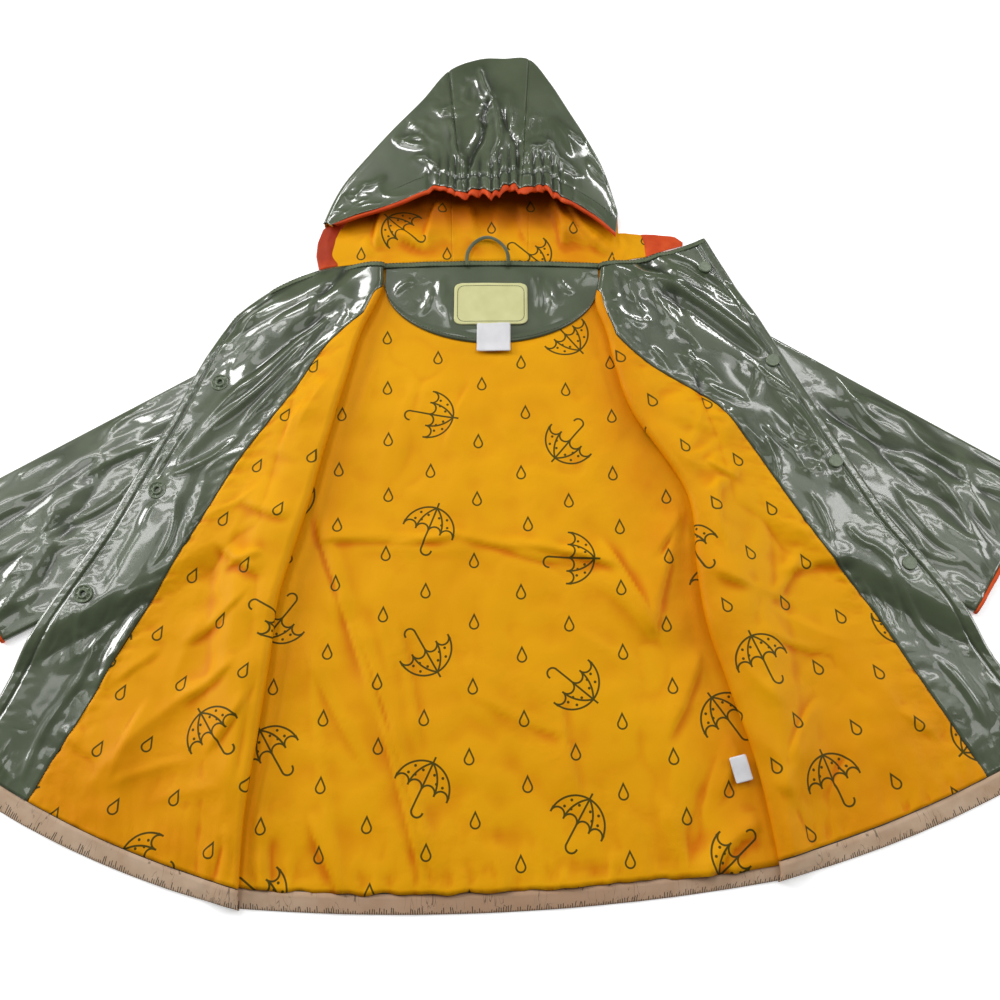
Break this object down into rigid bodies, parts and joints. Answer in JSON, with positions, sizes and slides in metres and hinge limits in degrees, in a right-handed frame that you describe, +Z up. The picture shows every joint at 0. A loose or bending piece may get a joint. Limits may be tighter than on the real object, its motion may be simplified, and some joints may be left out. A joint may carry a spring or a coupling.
{
  "type": "kids raincoat",
  "caption": "Child's hooded raincoat laid open on its back, with the printed lining, front facings, flat sleeves and gathered hood showing.",
  "frame": {"origin": "middle of the laid-out coat's bounding box in plan, on the surface that it lies on", "axes": "+X to the wearer's left, +Y from the hem to the hood, +Z up from the surface"},
  "size_m": [0.9055, 0.7603, 0.0277],
  "materials": {
    "coated_cloth": "wet-look coated polyester, high gloss, fine crinkles",
    "lining_cloth": "smooth woven polyester with a thin dark line print, satin",
    "hem_cloth": "sand cloth with fine dark ticks, matte",
    "binding": "smooth red-orange woven cloth, satin",
    "tape": "olive grosgrain tape with stitching, matte",
    "label": "bare woven label with a stitched edge",
    "tag": "bare white satin tape",
    "snap": "moulded olive resin snap"
  },
  "bodies": {
    "root": {"back_shell": "coated_cloth", "back_lining": "lining_cloth", "neck_facing": "coated_cloth", "front_right_shell": "coated_cloth", "front_right_lining": "lining_cloth", "front_right_facing": "coated_cloth", "front_left_shell": "coated_cloth", "front_left_lining": "lining_cloth", "front_left_facing": "coated_cloth", "hem_band_back": "hem_cloth", "hem_band_right": "hem_cloth", "hem_band_left": "hem_cloth", "sleeve_right": "coated_cloth", "sleeve_left": "coated_cloth", "cuff_binding_right": "binding", "cuff_binding_left": "binding", "hood_side_right": "coated_cloth", "hood_centre": "coated_cloth", "hood_side_left": "coated_cloth", "hood_lining_right": "lining_cloth", "hood_lining_centre": "lining_cloth", "hood_lining_left": "lining_cloth", "hood_binding": "binding", "hood_facing_right": "binding", "hood_facing_left": "binding", "neck_tape_back": "tape", "neck_tape_right": "tape", "neck_tape_left": "tape", "hanger_loop": "tape", "neck_label": "label", "size_tag": "tag", "care_tag": "tag", "snap_cap_1": "snap", "snap_cap_2": "snap", "snap_cap_3": "snap", "snap_cap_4": "snap", "snap_socket_1": "snap", "snap_socket_2": "snap", "snap_socket_3": "snap"}
  },
  "joints": []
}
